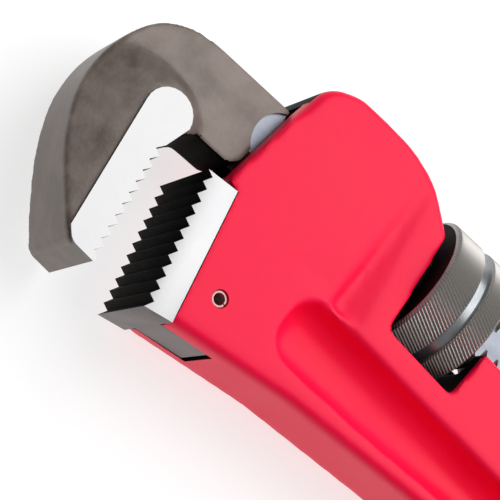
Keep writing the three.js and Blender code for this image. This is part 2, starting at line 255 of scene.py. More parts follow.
def mesh_of(shape: BMesh, name: str) -> bpy.types.Mesh:
    """Makes a mesh of a shape.

    Args:
        shape: the shape, which is used up.
        name: the mesh's name.

    Returns:
        The mesh.
    """
    mesh = bpy.data.meshes.new(name)
    shape.to_mesh(mesh)
    shape.free()
    return mesh


def in_scene(name: str, data: bpy.types.ID) -> bpy.types.Object:
    """Puts a new object in the scene.

    Args:
        name: its name.
        data: its mesh, light or camera.

    Returns:
        The object.
    """
    thing = bpy.data.objects.new(name, data)
    bpy.context.scene.collection.objects.link(thing)
    return thing


def prism(corners: Sequence[Sequence[float]], low: float, high: float, segments: int = 8) -> BMesh:
    """Prism of an outline whose corners [x, y, radius] are rounded by a bevel.

    Args:
        corners: outline corners, each with an optional radius.
        low: height of the lower face.
        high: height of the upper face.
        segments: steps in each rounded corner.

    Returns:
        The closed prism.
    """
    shape = bmesh.new()
    rim = [shape.verts.new((corner[0], corner[1], low)) for corner in corners]
    grown = bmesh.ops.extrude_face_region(shape, geom=[shape.faces.new(rim)])
    top = [item for item in grown["geom"] if isinstance(item, BMVert)]
    bmesh.ops.translate(shape, verts=top, vec=(0.0, 0.0, high - low))
    seal(shape)
    uprights = [next(edge for edge in vert.link_edges if is_upright(edge)) for vert in rim]
    count = len(corners)
    for index, (corner, upright) in enumerate(zip(corners, uprights)):
        if len(corner) < 3:
            continue
        here = Vector(corner[:2])
        before = (Vector(corners[index - 1][:2]) - here).normalized()
        after = (Vector(corners[(index + 1) % count][:2]) - here).normalized()
        round_off(shape, [upright], corner[2] / math.tan(before.angle(after) / 2), segments)
    return shape


def soften_face(shape: BMesh, height: float, radius: float, segments: int = 4) -> None:
    """Rounds the edges around a prism's face.

    Args:
        shape: the prism.
        height: height of the face.
        radius: radius of the rounding.
        segments: steps in the rounding.
    """
    edges = [edge for edge in shape.edges if all(abs(vert.co.z - height) < 1e-5 for vert in edge.verts)]
    round_off(shape, edges, radius, segments)


def turned(profile: Sequence[Sequence[float]], steps: int, angle: float = 2 * math.pi) -> BMesh:
    """Profile [along, radius] spun about the X axis.

    Args:
        profile: points of the profile; it closes on itself.
        steps: steps round the axis.
        angle: how far it is spun.

    Returns:
        The spun shape, closed.
    """
    shape = bmesh.new()
    verts = [shape.verts.new((along, 0.0, radius)) for along, radius in profile]
    edges = [shape.edges.new((verts[i - 1], verts[i])) for i in range(len(verts))]
    full = abs(angle) > 2 * math.pi - 1e-6
    bmesh.ops.spin(shape, geom=verts + edges, cent=(0, 0, 0), axis=(1, 0, 0), angle=angle,
                   steps=steps, use_merge=full)
    bmesh.ops.remove_doubles(shape, verts=shape.verts[:], dist=1e-5)
    seal(shape)
    return shape


def rod(centre: Sequence[float], radius: float, length: float, turn: Matrix = UPRIGHT,
        segments: int = 64) -> BMesh:
    """Round bar.

    Args:
        centre: its middle.
        radius: its radius.
        length: its length.
        turn: turns it from the Z axis to its own.
        segments: steps round it.

    Returns:
        The closed bar.
    """
    shape = bmesh.new()
    bmesh.ops.create_cone(shape, cap_ends=True, segments=segments, radius1=radius, radius2=radius,
                          depth=length, matrix=Matrix.Translation(Vector(centre)) @ turn)
    return shape


def through(points: Sequence[Sequence[float]], steps: int = 6) -> list[Vector]:
    """Smooth line through points.

    Args:
        points: what the line passes through.
        steps: steps from each point to the next.

    Returns:
        The points of the line.
    """
    knots = [Vector(point) for point in points]
    line = []
    for i in range(len(knots) - 1):
        before, start, end = knots[max(i - 1, 0)], knots[i], knots[i + 1]
        after = knots[min(i + 2, len(knots) - 1)]
        lead, trail = (end - before) / 2, (after - start) / 2
        for k in range(steps):
            t = k / steps
            ease = t * t * (3 - 2 * t)
            line.append(start * (1 - ease) + end * ease
                        + lead * (t * (1 - t) ** 2) - trail * (t * t * (1 - t)))
    return line + [knots[-1]]


def tooth_line(start: Sequence[float], end: Sequence[float]) -> list[Vector]:
    """Saw teeth with tips on a line and roots on its right.

    Args:
        start: first tip.
        end: last tip.

    Returns:
        Tips and roots in order.
    """
    first, run = Vector(start), Vector(end) - Vector(start)
    count = round(run.length / SIZES.tooth_pitch)
    inward = Vector((run.y, -run.x)).normalized() * SIZES.tooth_depth
    line = []
    for i in range(count):
        line.append(first + run * (i / count))
        line.append(first + run * ((i + SIZES.tooth_root) / count) + inward)
    return line + [first + run]


FaceTest = Callable[[Vector, Vector], bool]


class Workpiece:
    """A closed mesh in millimetres that is cut, joined and smoothed like a piece on the bench."""

    def __init__(self, shape: BMesh) -> None:
        """Takes a closed shape over and puts it in the scene."""
        bmesh.ops.recalc_face_normals(shape, faces=shape.faces[:])
        self.thing = in_scene("workpiece", mesh_of(shape, "workpiece"))

    def modified(self, kind: str, **settings: Any) -> "Workpiece":
        """Applies one modifier.

        Args:
            kind: Blender's name for the modifier.
            settings: its properties.

        Returns:
            This workpiece.
        """
        modifier = self.thing.modifiers.new(kind.lower(), kind)
        for name, value in settings.items():
            setattr(modifier, name, value)
        graph = bpy.context.evaluated_depsgraph_get()
        mesh = bpy.data.meshes.new_from_object(self.thing.evaluated_get(graph))
        self.thing.modifiers.clear()
        worn = self.thing.data
        self.thing.data = mesh
        bpy.data.meshes.remove(worn)
        return self

    def with_tool(self, tool: "Workpiece", operation: str) -> "Workpiece":
        """Combines it with a tool, which is used up.

        Args:
            tool: the other solid.
            operation: DIFFERENCE, UNION or INTERSECT.

        Returns:
            This workpiece.
        """
        self.modified("BOOLEAN", object=tool.thing, operation=operation, solver="MANIFOLD")
        worn = tool.thing.data
        bpy.data.objects.remove(tool.thing)
        bpy.data.meshes.remove(worn)
        return self

    def cut(self, *shapes: BMesh) -> "Workpiece":
        """Cuts shapes away.

        Args:
            shapes: the tools, which are used up.

        Returns:
            This workpiece.
        """
        for shape in shapes:
            self.with_tool(Workpiece(shape), "DIFFERENCE")
        return self

    def join(self, *shapes: BMesh) -> "Workpiece":
        """Joins shapes on.

        Args:
            shapes: what is added, which is used up.

        Returns:
            This workpiece.
        """
        for shape in shapes:
            self.with_tool(Workpiece(shape), "UNION")
        return self

    def trim(self, shape: BMesh) -> "Workpiece":
        """Keeps only what lies inside a shape."""
        return self.with_tool(Workpiece(shape), "INTERSECT")

    def cast(self, grain: float, passes: int) -> "Workpiece":
        """Rounds every edge, as in a casting or forging.

        Args:
            grain: size of the mesh's cells.
            passes: how often the surface is smoothed.

        Returns:
            This workpiece.
        """
        self.modified("REMESH", mode="VOXEL", voxel_size=grain, adaptivity=0.0)
        return self.modified("SMOOTH", factor=0.5, iterations=passes)

    def finish(self, name: str, place: Matrix, finishes: Sequence[tuple["Finish", Optional[FaceTest]]],
               sharp: float = 32.0) -> bpy.types.Object:
        """Names, dresses and places the finished piece.

        Args:
            name: the piece's name.
            place: where its drawing lies in the frame.
            finishes: its first finish, then others with a test of the faces that they cover.
            sharp: smallest angle of an edge that stays sharp, in degrees.

        Returns:
            The finished object, with its place in its mesh.
        """
        mesh = self.thing.data
        mesh.materials.clear()
        for index, (finish, test) in enumerate(finishes):
            mesh.materials.append(finish.material())
            for face in mesh.polygons:
                if test is None or test(face.center, face.normal):
                    face.material_index = index
        shape = bmesh.new()
        shape.from_mesh(mesh)
        bmesh.ops.remove_doubles(shape, verts=shape.verts[:], dist=1e-4)
        for face in shape.faces:
            face.smooth = True
        for edge in shape.edges:
            edge.smooth = len(edge.link_faces) == 2 and edge.calc_face_angle(0.0) < math.radians(sharp)
        moved(shape, place).to_mesh(mesh)
        shape.free()
        self.thing.name = mesh.name = name
        return self.thing


def mount(piece: bpy.types.Object, body: str, node: str) -> bpy.types.Object:
    """Puts a finished piece in the frame, in place of a CAD node.

    Args:
        piece: the finished object.
        body: the CAD body that it moves with.
        node: the CAD node that it stands for.

    Returns:
        The piece.
    """
    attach(piece, body)
    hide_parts(node)
    logger.info("%s: %d faces, on %s", piece.name, len(piece.data.polygons), body)
    return piece


# ------------------------------------------------------------------ finishes


def colour(code: str) -> tuple[float, float, float, float]:
    """Linear colour of an sRGB hex value.

    Args:
        code: six hex digits.

    Returns:
        Red, green, blue and alpha.
    """
    parts = [int(code[i:i + 2], 16) / 255 for i in (0, 2, 4)]
    linear = [part / 12.92 if part <= 0.04045 else ((part + 0.055) / 1.055) ** 2.4 for part in parts]
    return (linear[0], linear[1], linear[2], 1.0)


def add_node(tree: bpy.types.NodeTree, kind: str, inputs: Optional[dict[str, Any]] = None) -> bpy.types.Node:
    """Adds a node with its values and links.

    Args:
        tree: the material's node tree.
        kind: Blender's name for the node.
        inputs: for each socket, a value or the output that it is linked to.

    Returns:
        The node.
    """
    node = tree.nodes.new(kind)
    for socket, value in (inputs or {}).items():
        if isinstance(value, bpy.types.NodeSocket):
            tree.links.new(value, node.inputs[socket])
        else:
            node.inputs[socket].default_value = value
    return node


def per_metre(size_mm: float) -> float:
    """Texture scale whose features are a given size in millimetres."""
    return 1.0 / (size_mm * MM)


@dataclass(frozen=True)
class Finish:
    """A surface of one material: two tones in patches, a grain in relief, and its gloss."""

    name: str
    tone: str
    shade: str
    metallic: float
    roughness: float
    roughness_spread: float
    patch_mm: float
    grain_mm: float
    grain_height_mm: float
    grain_stretch: tuple[float, float, float] = (1.0, 1.0, 1.0)
    grain_turn_deg: float = 0.0
    specular: float = 0.5
    patch_edges: tuple[float, float] = (0.35, 0.65)
    gloss_edges: tuple[float, float] = (0.3, 0.7)

    def material(self) -> bpy.types.Material:
        """The Blender material, made once.

        Returns:
            The material, new or found by its name.
        """
        found = bpy.data.materials.get(self.name)
        if found is not None:
            return found
        made = bpy.data.materials.new(self.name)
        made.use_nodes = True
        tree = made.node_tree
        tree.nodes.clear()
        place = add_node(tree, "ShaderNodeTexCoord").outputs["Object"]
        patches = add_node(tree, "ShaderNodeTexNoise",
                           {"Vector": place, "Scale": per_metre(self.patch_mm), "Detail": 4.0,
                            "Roughness": 0.6})
        tones = add_node(tree, "ShaderNodeValToRGB", {"Fac": patches.outputs["Fac"]})
        for stop, edge, code in zip(tones.color_ramp.elements, self.patch_edges, (self.shade, self.tone)):
            stop.position = edge
            stop.color = colour(code)
        lay = add_node(tree, "ShaderNodeMapping",
                       {"Vector": place, "Rotation": (0.0, 0.0, math.radians(self.grain_turn_deg)),
                        "Scale": self.grain_stretch})
        grain = add_node(tree, "ShaderNodeTexNoise",
                         {"Vector": lay.outputs["Vector"], "Scale": per_metre(self.grain_mm),
                          "Detail": 3.0, "Roughness": 0.55})
        relief = add_node(tree, "ShaderNodeBump",
                          {"Height": grain.outputs["Fac"], "Strength": 1.0,
                           "Distance": self.grain_height_mm * MM})
        gloss = add_node(tree, "ShaderNodeMapRange",
                         {"Value": patches.outputs["Fac"], "From Min": self.gloss_edges[0],
                          "From Max": self.gloss_edges[1],
                          "To Min": self.roughness - self.roughness_spread,
                          "To Max": self.roughness + self.roughness_spread})
        shader = add_node(tree, "ShaderNodeBsdfPrincipled",
                          {"Base Color": tones.outputs["Color"], "Metallic": self.metallic,
                           "Roughness": gloss.outputs["Result"], "Normal": relief.outputs["Normal"],
                           "Specular IOR Level": self.specular})
        add_node(tree, "ShaderNodeOutputMaterial", {"Surface": shader.outputs["BSDF"]})
        return made


# Baked enamel over a sand casting: even red gloss, softened by the casting's faint pebble.
ENAMEL = Finish("baked_red_enamel", "ff0b46", "fa083f", 0.0, 0.42, 0.05, 30.0, 1.6, 0.05, specular=0.18)
# Bare iron in the machined and cored spaces, made near-black to paint their shade as well, and painted shade
# on the nut's end faces and on the housing's top behind the hook's neck: dark, oily in patches.
BARE_IRON_AND_SHADE = Finish("bare_iron_and_painted_shade", "0a0808", "050404", 0.0, 0.7, 0.08, 4.0, 0.8, 0.05, specular=0.12)
# Drop-forged steel, quenched in oil: brown-grey scale in soft patches, a satin gloss.
FORGED = Finish("oil_quenched_forging", "7b6f68", "594d46", 0.25, 0.42, 0.08, 11.0, 1.1, 0.06)
# Surface-ground steel: bright, with fine straight grinding lines drawn coarser than real ones.
GROUND = Finish("ground_steel", "d6d5d5", "cdcdcf", 0.2, 0.4, 0.04, 9.0, 0.5, 0.012,
                grain_stretch=(1.0, 0.04, 1.0), grain_turn_deg=-8.0)
# Hardened teeth: near-black, partly blackened by the quench and partly painted shade, dry; the hook's throat
# gets the same near-black as painted shade.
TEETH_AND_SHADE = Finish("tooth_black_and_painted_shade", "0f0805", "050302", 0.0, 0.75, 0.06, 3.0, 0.6, 0.04, specular=0.1)
# The heel jaw's unground front and tongue: grey machined steel under an oil film.
MACHINED = Finish("oiled_machined_steel", "736c6a", "575150", 0.6, 0.42, 0.06, 6.0, 0.5, 0.015,
                  grain_stretch=(0.06, 1.0, 1.0))
# End-milled flat: light blue-grey with faint cutter lines.
MILLED = Finish("milled_steel", "8f95a0", "7b818c", 0.5, 0.38, 0.05, 7.0, 0.6, 0.012,
                grain_stretch=(0.08, 1.0, 1.0))
# Knurled band: rolled ridges, grey-brown and oily between them.
KNURLED = Finish("knurled_steel", "5a5351", "3d3836", 0.4, 0.4, 0.06, 5.0, 0.4, 0.01)
# Turned and polished groove and chamfers of the nut.
POLISHED = Finish("polished_turned_steel", "a3a6a9", "86898c", 0.75, 0.33, 0.04, 6.0, 0.5, 0.006,
                  grain_stretch=(1.0, 0.1, 0.1))
# Rolled spring pin: light steel with a pinkish tint.
PIN_STEEL = Finish("rolled_pin_steel", "c99a98", "a97f7e", 0.4, 0.4, 0.05, 2.0, 0.4, 0.01)
# Spring steel tempered blue.
SPRING_STEEL = Finish("tempered_spring_steel", "59606e", "434955", 0.9, 0.34, 0.05, 3.0, 0.4, 0.008)


# ------------------------------------------------------------------ the handle


@dataclass
class HandleCasting:
    """Handle and jaw housing in one casting."""

    reach: float = 245.0
    ear_back: float = 4.6
    ear_length: float = 72.0
    waist_width: float = 30.0
    web_thickness: float = 9.0
    recess_fillet: float = 6.6
    edge_round: float = 2.0
    end_thinning: float = 3.5
    thinning_start: float = -60.0
    nut_clearance: float = 1.6
    window_slack_top: float = 0.3
    window_slack_bottom: float = 3.3
    rail_width: float = 6.6
    recess_width: float = 18.6
    slot_slack: float = 1.4
    coil_room: float = 1.9
    eye_radius: float = 15.5
    eye_centre: float = 21.5
    hang_hole_radius: float = 6.5
    valley_depth: float = 3.2
    valley_top: float = 42.0
    valley_line: float = 27.0
    valley_foot: float = 16.0
    valley_back: float = -27.0
    grain: float = 0.85
    mould_passes: int = 9
    seat_passes: int = 7

    def __post_init__(self) -> None:
        """Works out the places that follow from the sizes."""
        self.window_top = SIZES.nut_high + self.window_slack_top
        self.window_bottom = self.window_slack_bottom - SIZES.nut_low
        self.window_front = SIZES.nut_radius + self.nut_clearance
        self.recess_back = self.window_front + self.rail_width
        self.recess_front = self.recess_back + self.recess_width
        self.channel_front = SIZES.shank_width / 2 + 2.8
        self.eye_x = self.eye_radius - self.reach
        self.ear_end = -self.window_bottom - self.ear_length
        self.waist_front = self.eye_centre + self.waist_width / 2
        self.waist_back = self.eye_centre - self.waist_width / 2

    def outline(self) -> list[tuple[float, ...]]:
        """Corners of the casting's outline.

        Returns:
            The corners, [x, y] or [x, y, radius].
        """
        top = SIZES.housing_reach
        eye, radius, x = self.eye_centre, self.eye_radius, self.eye_x
        return [
            (top - 5, 58.3), (20, self.recess_front + 5.7, 60), (-20, self.recess_front + 0.9, 120),
            (self.ear_end - 6, self.waist_front + 3, 200),
            (x + 24, self.waist_front - 1.4, 40), (x + 8, eye + radius + 0.8, 14),
            (-self.reach, eye + radius, radius - 0.5), (-self.reach, eye - radius, radius - 0.5),
            (x + 8, eye - radius - 0.8, 14), (x + 24, self.waist_back + 1.4, 40),
            (self.ear_end - 22, self.waist_back + 2.4, 30), (self.ear_end, self.ear_back, 30),
            (0, self.ear_back), (self.window_top - 1, -7, 3.5), (self.window_top + 13, -17, 14),
            (35, -18.9, 20), (top - 9, -17.6, 10), (top - 0.4, -12.8, 8), (top + 0.6, -3),
            (top + 7, 8), (top + 11, 24),
        ]

    def blank(self) -> BMesh:
        """The casting's blank: its outline with rounded edges, thinner to the free end.

        Returns:
            The closed blank.
        """
        half = SIZES.half
        shape = prism(self.outline(), -half, half)
        soften_face(shape, half, self.edge_round)
        soften_face(shape, -half, self.edge_round)
        everything = shape.verts[:] + shape.edges[:] + shape.faces[:]
        bmesh.ops.bisect_plane(shape, geom=everything, plane_co=(self.thinning_start, 0, 0),
                               plane_no=(1, 0, 0))
        run = self.reach + self.thinning_start
        for vert in shape.verts:
            past = max(0.0, self.thinning_start - vert.co.x) / run
            vert.co.z *= 1 - past * self.end_thinning / half
        return shape

    def recess(self, side: int) -> BMesh:
        """The hollow in one side face that leaves the web and two flanges.

        Args:
            side: 1 above, -1 below.

        Returns:
            The cut.
        """
        end = self.eye_x + self.eye_radius + 8
        front, back = self.waist_front - 5.2, self.waist_back + 6.4
        top = SIZES.housing_reach
        floor = self.web_thickness / 2
        shape = prism([
            (top - 28.5, self.recess_back + 1.4, 7), (top - 27.8, self.recess_front, 7),
            (0, self.recess_front - 2.1),
            (self.ear_end - 6, front + 3), (end, front - 0.5, 7), (end, back + 0.5, 7),
            (self.ear_end - 16, back, 60), (-45, self.recess_back, 60),
        ], floor, SIZES.thickness)
        soften_face(shape, floor, self.recess_fillet)
        if side < 0:
            bmesh.ops.scale(shape, vec=(1, 1, -1), verts=shape.verts[:])
        return shape

    def valley(self, side: int) -> BMesh:
        """The valley in one side face beside the window's lip, which fades out to the back.

        Args:
            side: 1 above, -1 below.

        Returns:
            The cut.
        """
        top, line, foot = self.valley_top, self.valley_line, self.valley_foot
        crown, low, high = SIZES.half + 0.02, SIZES.half - self.valley_depth, SIZES.half + 6
        shape = prism([(top, crown), (line, low), (line - 2, low), (foot, crown), (foot, high), (top, high)],
                      self.valley_back, self.recess_back)
        for vert in shape.verts:
            if vert.co.z < 0:
                vert.co.y += self.valley_depth
            elif abs(vert.co.x - line) < 0.1:
                vert.co.y = crown - 0.3 * self.valley_depth
        return moved(shape, Matrix.Diagonal((1, -1, side, 1)) @ CROSSWISE)

    def nut_window(self) -> BMesh:
        """The window that the adjusting nut turns in.

        Returns:
            The cut.
        """
        deep = SIZES.thickness
        return prism([
            (self.window_top, self.window_front, 1.2), (self.window_top + 2.6, -12),
            (self.window_top + 3, -30), (-self.window_bottom - 2, -30),
            (-self.window_bottom - 1.5, self.ear_back), (-self.window_bottom, self.window_front, 1.2),
        ], -deep, deep, 4)

    def tail_channel(self) -> BMesh:
        """The channel between the ears for the shank's tail.

        Returns:
            The cut.
        """
        half = SIZES.shank_thickness / 2 + SIZES.running_gap
        start, end = -self.window_bottom + 4, self.ear_end - 16
        return prism([
            (start, self.channel_front), (start, -20), (end, -20), (end, self.ear_back - 2),
            (end + 12, self.channel_front - 3.6, 8),
        ], -half, half)

    def above_housing(self, seat_stock: float, top_stock: float) -> BMesh:
        """Everything on the jaw side of the heel jaw's seat and the housing's top.

        Args:
            seat_stock: what is left standing on the seat.
            top_stock: what is left standing on the housing's top.

        Returns:
            The cut.
        """
        top, deep = SIZES.housing_reach, SIZES.thickness
        front, back = SIZES.seat_front, SIZES.seat_back
        along = (back - front).normalized()
        out = Vector((-along.y, along.x)) * seat_stock
        start = front - 2 * along + out
        return prism([
            start[:], (back + out)[:], (top + 3.5 + top_stock, back.y - 0.6), (top + 0.6 + top_stock, -5),
            (top + 0.6 + top_stock, -24), (top + 40, -24), (top + 40, 80), (front.x - 3, 80),
        ], -deep, deep)

    def shank_passage(self) -> BMesh:
        """The passage that the shank slides and rocks in.

        Returns:
            The cut.
        """
        half = SIZES.shank_width / 2
        shoulder, top, foot = SIZES.neck_start - 14, SIZES.housing_reach + 24, self.window_top - 3
        room = SIZES.rock_room
        deep = SIZES.neck_thickness / 2 + SIZES.running_gap
        shape = prism([
            (foot, half + room(foot)), (shoulder - 2, half + room(shoulder)),
            (shoulder, SIZES.neck_front + room(shoulder)), (top, SIZES.neck_front + room(top)),
            (top, -half - room(top)), (foot, -half - room(foot)),
        ], -deep, deep)
        return moved(shape, LAYOUT.shank_turn)

    def spring_pockets(self) -> list[BMesh]:
        """Pockets of the coil spring and the leaf, and the bore of the leaf's pin.

        Returns:
            The three cuts.
        """
        half, wall = SIZES.shank_width / 2, SIZES.leaf_wall
        low, high = SIZES.leaf_foot - 2, SIZES.leaf_tip + 2
        deep = SIZES.coil_pocket_depth + 2
        wide = SIZES.leaf_width / 2 + SIZES.running_gap
        bore = SIZES.leaf_pocket_depth + 3
        pin = (SIZES.leaf_foot + SIZES.leaf_pin_offset, -half - bore / 2, 0)
        pockets = [
            rod((SIZES.coil_station, half + deep / 2, 0), SIZES.coil_radius + self.coil_room, deep,
                CROSSWISE),
            prism([(high, -half), (low, -half), (low, wall, 1), (high, wall, 3)], -wide, wide, 3),
            rod(pin, SIZES.leaf_pin_radius + SIZES.seat_gap, bore, CROSSWISE, 32),
        ]
        return [moved(shape, LAYOUT.shank_turn) for shape in pockets]

    def tongue_slot(self) -> BMesh:
        """The slot in the housing's front for the heel jaw's tongue.

        Returns:
            The cut.
        """
        top = SIZES.housing_reach
        end = top - SIZES.tongue_drop - self.slot_slack
        back = SIZES.seat_front.y - SIZES.tongue_depth - SIZES.seat_gap
        half = SIZES.tongue_width / 2 + SIZES.seat_gap
        return prism([(end, back, 2), (end, 70), (top + 19, 70), (top + 19, back)], -half, half)

    def build(self) -> Workpiece:
        """Casts the blank, then machines the seats and bores.

        Returns:
            The machined casting.
        """
        piece = Workpiece(self.blank())
        piece.cut(self.recess(1), self.recess(-1), self.valley(1), self.valley(-1))
        piece.cast(self.grain, self.mould_passes)
        piece.cut(self.nut_window(), self.tail_channel(),
                  rod((self.eye_x, self.eye_centre, 0), self.hang_hole_radius, THROUGH),
                  self.above_housing(self.grain, 0))
        piece.cast(self.grain, self.seat_passes)
        return piece.cut(self.above_housing(0, self.grain), self.shank_passage(), self.tongue_slot(),
                         *self.spring_pockets(),
                         rod((*SIZES.pin_centre, 0), SIZES.pin_radius, THROUGH, segments=48))

    def is_bare_or_shaded(self, centre: Vector, normal: Vector) -> bool:
        """Whether a face gets near-black: bare iron in a machined or cored space, whose black partly paints
        its shade, or painted shade on the housing's top behind the hook's neck.

        Args:
            centre: the face's middle.
            normal: the way that it faces.

        Returns:
            True where there is no enamel, or where shade is painted near-black.
        """
        depth = abs(centre.z)
        top, front = SIZES.housing_reach, SIZES.seat_front.y
        in_window = (depth < SIZES.half - 1.2 and abs(normal.z) < 0.6
                     and -self.window_bottom - 3 < centre.x < self.window_top + 4
                     and centre.y < self.window_front + 0.35)
        in_channel = (depth < SIZES.shank_thickness / 2 + 0.9
                      and self.ear_end - 14 < centre.x < self.window_top
                      and centre.y < self.channel_front + 0.4)
        outer_skin = centre.y < -11 and normal.y < -0.3
        in_passage = (depth < SIZES.neck_thickness / 2 + 0.6 and normal.x < 0.7 and not outer_skin
                      and centre.x > self.window_top and -16.5 < centre.y < 24)
        # Painted shade: the housing's top behind the hook's neck, which faces the jaw end, is made
        # near-black.
        shaded_top_behind_neck = depth < 10.5 and normal.x > 0.7 and centre.x > top - 2 and centre.y < -6
        in_slot = (depth < SIZES.tongue_width / 2 + 0.5 and (abs(normal.z) > 0.5 or normal.x > 0.5)
                   and centre.x > top - 25 and front - SIZES.tongue_depth - 0.2 < centre.y < front - 0.2)
        return in_window or in_channel or in_passage or shaded_top_behind_neck or in_slot

    def dress(self, piece: Workpiece) -> bpy.types.Object:
        """Enamels the casting outside; its machined spaces are near-black, partly bare iron and partly
        painted shade, and the housing's top behind the neck is painted near-black as shade.
        """
        made = piece.finish("handle_casting", LAYOUT.along_handle,
                            [(ENAMEL, None), (BARE_IRON_AND_SHADE, self.is_bare_or_shaded)], sharp=40.0)
        return mount(made, "handle", "handle")


# ------------------------------------------------------------------ the heel jaw


@dataclass
class HeelJaw:
    """Toothed block on the seat, with the tongue that the pin holds."""

    front_overhang: float = 2.0
    tongue_inset: float = 0.8
    tongue_shoulder: float = 36.0
    edge_break: float = 0.22
    break_angle_deg: float = 30.0

    def build(self) -> Workpiece:
        """Block with its teeth, and its tongue.

        Returns:
            The toothed block with its tongue.
        """
        half, top = SIZES.half, SIZES.housing_reach
        front, back = SIZES.seat_front, SIZES.seat_back
        along = (back - front).normalized()
        out = Vector((-along.y, along.x)) * SIZES.seat_gap
        teeth = tooth_line((top - 0.1, front.y + self.front_overhang), (top + 8.8, back.y + 1.5))
        piece = Workpiece(prism([(front + out)[:], *[tip[:] for tip in teeth], (back + out)[:]], -half, half))
        rear = front.y - SIZES.tongue_depth
        end, face = top - SIZES.tongue_drop, top - self.tongue_inset
        wide = SIZES.tongue_width / 2
        piece.join(prism([(end, rear, 2), (end, 55.0), (top - 6, 58.1), (face, self.tongue_shoulder),
                          (face, rear)], -wide, wide))
        piece.cut(rod((*SIZES.pin_centre, 0), SIZES.pin_radius, THROUGH, segments=48))
        return piece.modified("BEVEL", width=self.edge_break, segments=2, limit_method="ANGLE",
                              angle_limit=math.radians(self.break_angle_deg), harden_normals=False)

    def dress(self, piece: Workpiece) -> bpy.types.Object:
        """Ground sides, near-black teeth, grey front and tongue; the teeth's black is partly the steel's and
        partly painted shade.
        """
        made = piece.finish("heel_jaw_toothed_block", LAYOUT.along_handle, [
            (MACHINED, None),
            (GROUND, lambda centre, normal: abs(centre.z) > SIZES.half - 0.3),
            # Faces toward the jaw end get the teeth's near-black, partly painted shade.
            (TEETH_AND_SHADE, lambda centre, normal: abs(normal.z) < 0.5 and normal.x > 0.15),
        ])
        return mount(made, "handle", "heel_jaw")


@dataclass
class HeelJawPin:
    """Slotted spring pin through the cheeks and the tongue."""

    bore: float = 1.45
    slit: float = 0.4
    sunk: float = 0.5
    lead: float = 0.3
    clearance: float = 0.06
    steps: int = 60

    def build(self) -> Workpiece:
        """A rolled tube with chamfered ends, open along one side.

        Returns:
            The slotted tube.
        """
        radius = SIZES.pin_radius - self.clearance
        end, lead = SIZES.half - self.sunk, self.lead
        profile = [(-end, self.bore), (-end, radius - lead), (lead - end, radius), (end - lead, radius),
                   (end, radius - lead), (end, self.bore)]
        shape = turned(profile, self.steps, 2 * math.pi - self.slit / radius)
        place = Matrix.Translation((*SIZES.pin_centre, 0)) @ Matrix.Rotation(-math.pi / 2, 4, "Y")
        return Workpiece(moved(shape, place))

    def dress(self, piece: Workpiece) -> bpy.types.Object:
        """Plain pin steel."""
        made = piece.finish("heel_jaw_spring_pin", LAYOUT.along_handle, [(PIN_STEEL, None)])
        return mount(made, "handle", "heel_jaw_pin")


# ------------------------------------------------------------------ the hook jaw


